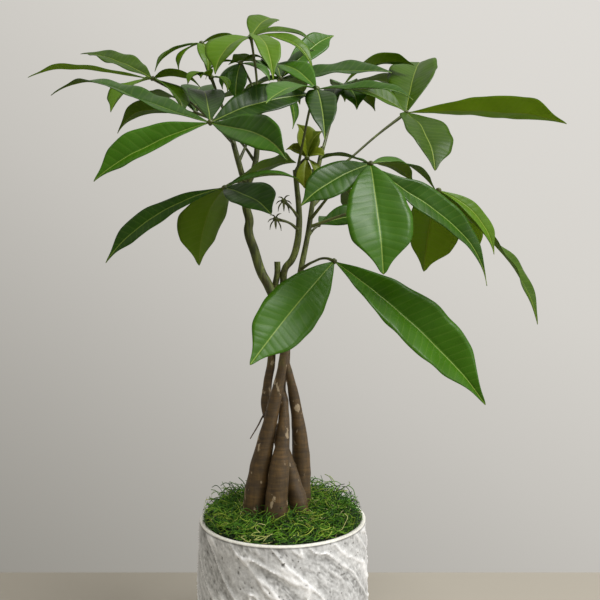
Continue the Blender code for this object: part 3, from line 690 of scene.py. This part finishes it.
# Skin of a leaf stalk and its knuckle: smooth, dark olive green, a little glossy.
stalk_skin, tree = new_material("green stalk skin")
coords = add_node(tree, "TexCoord").outputs["Object"]
streak = add_node(tree, "TexNoise", [
    ("Vector", coords), ("Scale", 1 / (6 * MM)), ("Detail", 3.0)]).outputs["Fac"]
ramp = add_node(tree, "ValToRGB", [("Fac", streak)])
ramp.color_ramp.elements[0].position = 0.3
ramp.color_ramp.elements[0].color = linear("34380F")
ramp.color_ramp.elements[1].position = 0.7
ramp.color_ramp.elements[1].color = linear("55601D")
finish_material(tree, add_node(tree, "BsdfPrincipled", [
    ("Base Color", ramp.outputs[0]), ("Roughness", 0.45)]))


def blade(tip, width, arch=6, roll=0, fold=14, bend=0, hook=2, twist=0, peak=0.52, skew=1.0, full=1.0,
          tone=None):
    """A leaflet's values: its tip from the knuckle, its width, and how it arches, turns and folds.

    Its tone goes from 0, deep, to 1, light; a tone given here is painted light, low on a leaflet in shade and
    high on one in light. Left out, it comes by chance.
    """
    return {"tip": Vector(tip) * MM, "width": width * MM, "arch": arch * MM, "roll": roll, "fold": fold,
            "bend": bend * MM, "hook": hook * MM, "twist": twist, "peak": peak, "skew": skew, "full": full,
            "tone": tone}


def half_width(u, peak, full):
    """A leaflet's outline: 0 at its ends, 1 at `peak` along it, and drawn in before its drip tip."""
    if u < peak:
        return math.sin(math.pi / 2 * u / peak) ** (1.15 * full)
    drawn_in = min(1.0, max(0.0, (u - 0.76) / 0.2))
    shoulder = max(0.0, math.cos(math.pi / 2 * (u - peak) / (1 - peak))) ** (0.8 * full)
    return shoulder * (1 - 0.55 * drawn_in ** 2 * (3 - 2 * drawn_in))


def leaflet_frame(base, spec, u):
    """The midrib's place at u, with the directions across the blade and out of its upper face."""
    run = spec["tip"]
    along = run.normalized()
    up = Vector((0, 0, 1)) - along * along.z
    if up.length < 0.05:
        up = Vector((0, -1, 0)) - along * along.dot(Vector((0, -1, 0)))
    up.normalize()
    side = along.cross(up)

    def place(s):
        risen = s ** spec["skew"]
        hump = 4 * risen * (1 - risen)
        curl = max(0.0, (s - 0.7) / 0.3) ** 2
        lift = spec["arch"] * hump - spec["hook"] * curl
        return base + run * s + up * lift + side * (spec["bend"] * hump)

    step = 0.01
    tangent = (place(min(u + step, 1)) - place(max(u - step, 0))).normalized()
    upper = (up - tangent * up.dot(tangent)).normalized()
    upper.rotate(Matrix.Rotation(math.radians(spec["roll"] + spec["twist"] * u), 3, tangent))
    return place(u), tangent.cross(upper), upper


VEIN_SPACING = 7 * MM
VEIN_PUFF = 0.17 * MM        # how far the blade is puffed up between two side veins
BUCKLE = 1.5 * MM            # how far the whole blade is buckled
BLADE_THICKNESS = 0.35 * MM
ROW_SPACING = 1.8 * MM       # length of the faces along a leaflet


def fine_leaflet(hub, spec, faces, chance):
    """One leaflet with its veins' relief, its wavy edge and its thickness."""
    length = spec["tip"].length
    rows = max(12, round(length / ROW_SPACING))
    columns = 14 if spec["width"] > 15 * MM else 6      # a narrow leaflet needs fewer
    bpy.ops.object.select_all(action="DESELECT")
    bpy.ops.mesh.primitive_grid_add(x_subdivisions=rows, y_subdivisions=columns, size=2)
    made = bpy.context.object
    mesh = made.data
    fold = math.radians(spec["fold"])
    waves = length / (38 * MM)
    wave_start = (chance.uniform(0, 6.3), chance.uniform(0, 6.3))
    ripple = chance.uniform(0.25, 0.6) * min(1.0, spec["width"] / (30 * MM)) * MM
    tone = chance.uniform(0.0, 1.0)
    stations = {}
    veins = []
    for vertex in mesh.vertices:
        u = min(1.0, max(0.0, (vertex.co.x + 1) / 2))
        key = round(u, 5)
        if key not in stations:
            half = max(0.9 * MM if u < 0.5 else 0.25 * MM,
                       spec["width"] / 2 * half_width(u, spec["peak"], spec["full"]))
            stations[key] = (leaflet_frame(hub, spec, u), half)
        (spot, side, upper), half = stations[key]
        across = -math.copysign(abs(vertex.co.y) ** 1.35, vertex.co.y)
        reach = abs(across)
        out = across * half
        # the side veins are counted along the midrib, and lean towards the tip as they run out
        count = (u * length - 0.42 * reach * half) / VEIN_SPACING
        count += 0.35 * noise.noise(Vector((u * length / (9 * MM), tone * 40, across > 0)))
        puffed = abs(math.sin(math.pi * count)) * VEIN_PUFF * min(1.0, half / (12 * MM))
        puffed *= min(1.0, reach * 5) * min(1.0, (1 - reach) * 4)
        buckle = noise.noise(Vector((u * length / (24 * MM), out / (16 * MM), tone * 40)))
        puffed += buckle * BUCKLE * min(1.0, half / (14 * MM))
        groove = -0.3 * MM * max(0.0, 1 - abs(out) / (0.8 * MM))
        wave = math.sin(2 * math.pi * waves * u + wave_start[across > 0]) * ripple * 2 * reach ** 3
        frill = 1 + 0.01 * math.sin(2 * math.pi * waves * 1.7 * u + wave_start[across < 0])
        lift = reach * (1.2 - 0.2 * reach) * half * math.sin(fold)
        vertex.co = (spot + side * (out * frill * math.cos(fold))
                     + upper * (lift + puffed + groove + wave * math.sin(math.pi * u)))
        veins.append((count, out / (10 * MM)))
    layer = mesh.uv_layers[0]
    layer.name = "veins"
    for loop in mesh.loops:
        layer.data[loop.index].uv = veins[loop.vertex_index]
    # a tone given to a blade is painted light: low where shade falls on the leaflet, high where light falls
    # on it
    tone_and_painted_light = tone if spec["tone"] is None else spec["tone"]
    mesh.attributes.new("leaf_tone_and_painted_light", "FLOAT", "POINT").data.foreach_set("value", [tone_and_painted_light] * len(mesh.vertices))
    for face in faces:
        mesh.materials.append(face)
    mesh.shade_smooth()
    thick = made.modifiers.new("thickness", "SOLIDIFY")
    thick.thickness = BLADE_THICKNESS
    thick.offset = -1.0
    thick.use_even_offset = False
    thick.material_offset = 1
    bpy.ops.object.modifier_apply(modifier="thickness")
    return made


KNUCKLE_RADIUS = 2.7 * MM
STALK_RADIUS = 1.2           # of a leaf stalk, and at its two swollen ends (mm)
STALK_END_RADIUS = 1.8


def compound_leaf(name, route, leaflets, faces):
    """A stalk from its stem to its knuckle, and the leaflets that fan out from there."""
    chance = random.Random(name)
    last = len(route) - 1
    stalk = drawn_stem(name + "_grown", [
        (*point, STALK_END_RADIUS if number in (0, last) else STALK_RADIUS)
        for number, point in enumerate(route)], 10, 4)
    stalk.data.materials.append(stalk_skin)
    hub = Vector(route[-1]) * MM
    bpy.ops.object.select_all(action="DESELECT")
    bpy.ops.mesh.primitive_ico_sphere_add(subdivisions=3, radius=KNUCKLE_RADIUS, location=hub)
    bpy.ops.object.transform_apply(location=True)
    knuckle = bpy.context.object
    for vertex in knuckle.data.vertices:
        vertex.co += vertex.normal * noise.noise(vertex.co / (2 * MM)) * 0.6 * MM
    knuckle.data.materials.append(stalk_skin)
    knuckle.data.shade_smooth()
    pieces = [knuckle]
    for spec in leaflets:
        pieces.append(fine_leaflet(hub, spec, faces, chance))
    bpy.ops.object.select_all(action="DESELECT")
    for piece in pieces:
        piece.select_set(True)
    stalk.select_set(True)
    bpy.context.view_layer.objects.active = stalk
    bpy.ops.object.join()
    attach(stalk, "root")
    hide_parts(name)


# The tones given to leaflets below are painted light: low tones paint shade on a leaflet, high ones paint
# light.
compound_leaf("leaf_low_front", [(18, 2, 398), (30, -24, 404), (42, -44, 406), (49, -50, 403)], [
    blade((-72, -80, -88), 48, arch=2, roll=-50, fold=4, hook=0, peak=0.55, full=0.8, tone=1.0),
    blade((128, -50, -123), 54, arch=6, roll=50, fold=24, hook=3, peak=0.55, full=0.9),
], mature)

compound_leaf("leaf_right_front", [(28, 4, 449), (50, -36, 472), (70, -78, 487), (78, -90, 485)], [
    blade((4, -60, -97), 54, arch=4, roll=0, fold=10, hook=2, peak=0.6, full=0.72, tone=0.7),
    blade((-61, -30, -39), 32, arch=3, roll=-60, fold=14, tone=0.4),
    blade((104, 0, -103), 32, arch=13, roll=60, fold=20, hook=4, peak=0.4, skew=1.6, full=1.5, tone=0.4),
    blade((70, 60, -12), 25, arch=12, roll=25, fold=10, peak=0.5),
    blade((45, 40, -8), 22, arch=6, roll=0, fold=10, peak=0.5),
    blade((-43, 40, 14), 20, arch=4, roll=0, fold=10, peak=0.5),
], mature)

compound_leaf("leaf_far_right", [(27, 4, 441), (75, 0, 457), (121, -12, 466), (152, -20, 474)], [
    blade((107, 20, -129), 32, arch=13, roll=-20, twist=90, hook=4, peak=0.6, skew=1.3),
    blade((53, -10, -62), 20, arch=10, roll=50),
    blade((-5, 50, -76), 64, arch=6, roll=40, fold=28, peak=0.48, full=0.75, tone=1.0),
    blade((60, 75, -60), 32, arch=8, peak=0.55),
], half_grown)

compound_leaf("leaf_right_high", [(34, 4, 484), (66, 12, 510), (98, 22, 539), (129, 30, 564)], [
    blade((177, 20, -1), 40, arch=5, roll=-21, fold=21, hook=5, peak=0.66, tone=0.8),
    blade((33, 100, 93), 57, arch=8, fold=18, hook=3, peak=0.5, full=0.8, tone=0.0),
    blade((14, -80, -75), 52, arch=6, roll=-8, fold=14, bend=-4, peak=0.42, full=0.72, tone=-0.2),
    blade((-65, -10, 23), 34, arch=6, roll=-46),
], half_grown)

compound_leaf("leaf_centre_high", [(13, 2, 490), (20, -25, 520), (28, -62, 548), (32, -80, 553)], [
    blade((-41, -80, -35), 30, arch=5, roll=-15),
    blade((79, -40, -15), 22, arch=2, hook=7, roll=30),
    blade((5, -60, -58), 27, arch=6, peak=0.42, tone=0.0),
    blade((-38, 50, 42), 26, arch=4, roll=-30),
], mature)

compound_leaf("leaf_left_front", [(-49, -4, 522), (-54, -40, 529), (-58, -85, 524), (-59, -100, 518)], [
    blade((-94, -20, -52), 34, arch=5, roll=-58, fold=28, hook=2, peak=0.6, tone=1.2),
    blade((-153, 50, 48), 36, arch=11, roll=-30, twist=18, fold=14, hook=9, peak=0.42, skew=2.2, tone=0.3),
    blade((-20, 90, 58), 36, arch=5, peak=0.6, tone=0.0),
    blade((87, 40, 38), 36, arch=4, roll=55, fold=15, tone=0.0),
    blade((67, -70, -44), 31, arch=6, roll=58, fold=18, hook=3, peak=0.6, skew=1.5, tone=0.7),
], mature)

compound_leaf("leaf_far_left", [(-48, -3, 522), (-76, 14, 553), (-110, 26, 583), (-138, 30, 600)], [
    blade((-127, -10, 2), 28, arch=7, roll=-14, hook=4, peak=0.6, skew=1.4),
    blade((-99, 70, 56), 32, arch=4, hook=3, roll=-30, peak=0.4, tone=0.0),
    blade((-31, -50, -47), 38, hook=3),
    blade((40, -30, -44), 34, hook=3),
    blade((52, -4, -8), 28, hook=3, peak=0.45),
], half_grown)

compound_leaf("leaf_upper_left", [(-54, -4, 541), (-66, 2, 575), (-79, 14, 606), (-85, 20, 633)], [
    blade((-48, -10, -30), 22, arch=7, roll=-20, hook=3),
    blade((-22, -20, -33), 16, arch=6, hook=3),
    blade((12, -30, -39), 20, arch=6, hook=3),
    blade((40, 0, 6), 12, arch=4, hook=3),
], half_grown)

compound_leaf("leaf_crown", [(-26, 4, 556), (-26, -4, 585), (-29, -22, 612), (-30, -30, 619)], [
    blade((-29, -50, -50), 40, arch=8, hook=3, roll=-10),
    blade((25, -70, -62), 26, arch=12, hook=3),
    blade((62, 10, -1), 17, arch=9, roll=38, hook=2),
    blade((62, -14, -32), 19, arch=11, hook=6, roll=38),
    blade((22, 50, 41), 30, arch=5, roll=20, fold=8, hook=4),
], half_grown)

crown_rear_stalk = [(-44, -2, 506), (-36, 12, 530), (-22, 18, 562), (-8, 20, 588), (-3, 22, 597)]
compound_leaf("leaf_crown_rear", crown_rear_stalk, [
    blade((56, 40, 64), 27, arch=3, roll=60, hook=3, peak=0.68),
    blade((34, -14, 26), 30, arch=4, roll=40),
    blade((114, -10, 6), 44, arch=3, roll=35, fold=10, hook=3, peak=0.58, full=0.75, tone=0.2),
    blade((-60, 60, 40), 34, arch=8, hook=3),
    blade((15, -12, -54), 15, arch=5, hook=3),
    blade((20, 110, 10), 36, arch=10, hook=3),
    blade((-14, 84, 40), 34, arch=10, hook=3),
    blade((-42, 30, -8), 30, arch=5, roll=-30, hook=3),
], mature)

compound_leaf("leaf_right_rear", [(39, 5, 515), (51, 32, 560), (60, 54, 592), (64, 60, 602)], [
    blade((-14, -36, -30), 26, hook=3),
    blade((14, -30, -32), 32, hook=3, roll=20),
    blade((40, 30, -16), 24, hook=3),
    blade((96, 92, 26), 34, arch=9, hook=3),
    blade((80, 12, 30), 32, arch=12, roll=-8, hook=3),
    blade((10, 110, 20), 34, arch=10, hook=3),
], mature)

compound_leaf("leaf_middle_left", [(-38, 0, 484), (-46, -20, 482), (-54, -40, 473)], [
    blade((-111, -10, -69), 24, arch=11, roll=-60, fold=10, hook=3, peak=0.65),
    blade((-33, 50, -69), 60, arch=14, roll=-15, fold=12, hook=3, peak=0.5, full=0.8),
    blade((47, -60, -31), 40, arch=3, roll=30, hook=2, peak=0.6, full=0.75),
    blade((71, 14, 13), 26, arch=6, roll=18, hook=3),
    blade((66, 72, 42), 28, arch=4, roll=-28, hook=3, peak=0.74),
], mature)

compound_leaf("leaf_small_right", [(25, 4, 431), (31, 8, 439), (36, 12, 444)], [
    blade((59, 8, 9), 28, arch=4, roll=55, hook=3),
    blade((30, 60, 10), 24, arch=6, hook=3),
], mature)

compound_leaf("leaf_young_centre", [(12, 3, 496), (17, 0, 504), (24, -7, 508)], [
    blade((-8, -2, 34), 28, arch=3, roll=-72, fold=22, peak=0.45),
    blade((14, 0, 28), 18, arch=3, roll=66, fold=24),
    blade((-20, 2, 11), 16, arch=3, fold=20, roll=-50),
    blade((18, -6, 2), 16, arch=3, fold=20, roll=44),
    blade((-3, -11, -31), 17, arch=3, fold=16, peak=0.7),
    blade((10, -9, -22), 13, arch=3, fold=16),
], young)

compound_leaf("leaf_crown_inner", [(-26, 4, 550), (-30, 12, 580), (-40, 17, 604), (-44, 16, 611)], [
    blade((-35, -16, -20), 8, arch=8, hook=2),
    blade((27, -16, -2), 8, arch=5, hook=2),
    blade((-4, -14, -42), 22, arch=4, roll=-20),
    blade((-20, -4, -27), 18, arch=4, roll=-30),
    blade((31, 2, -16), 22, arch=4, roll=30),
], mature)

compound_leaf("leaf_small_left", [(-54, -4, 536), (-58, -8, 552), (-65, -13, 572), (-70, -17, 585)], [
    blade((-22, -10, -8), 22, arch=5, roll=-24, hook=2),
    blade((18, -5, -14), 15, arch=5, roll=20, hook=2),
    blade((-8, -16, -5), 18, arch=4, hook=1),
], half_grown)

compound_leaf("leaf_back_left", [(-28, 3, 506), (-44, 18, 530), (-70, 38, 556), (-98, 60, 573)], [
    blade((-87, 0, -15), 30, arch=12, roll=16, hook=8, peak=0.55, skew=1.3),
    blade((-70, 80, 34), 40, arch=12, hook=3, peak=0.55),
    blade((-4, 70, 52), 40, arch=8, hook=3, peak=0.55),
    blade((60, 60, 40), 38, arch=6, hook=3, peak=0.55),
], mature)

compound_leaf("leaf_back_right", [(30, 4, 462), (52, 44, 488), (66, 84, 494)], [
    blade((90, 50, -50), 40, arch=12, hook=3, peak=0.55),
    blade((40, 110, -50), 42, arch=12, hook=3, peak=0.55),
    blade((-46, 100, 30), 34, arch=12, hook=3, peak=0.55),
], mature)


# ---- leaf buds ----
# Two leaves just breaking from their buds on the front trunk's stem. Each is a short stalk with a
# tiny umbrella of leaflets that are still rolled into needles.
for name, stalk in (("bud_upper", [(16, 2, 449), (9, -5, 458), (1, -10, 465)]),
                    ("bud_lower", [(16, 2, 437), (6, -6, 444), (-7, -11, 447)])):
    needles = []
    for number in range(8):
        turn = 2 * math.pi * number / 8
        needles.append(blade((8 * math.cos(turn), 8 * math.sin(turn), (-3, -11, -9, 5)[number % 4]), 1.9,
                             arch=1.5, fold=30, hook=0))
    compound_leaf(name, stalk, needles, sprouting)
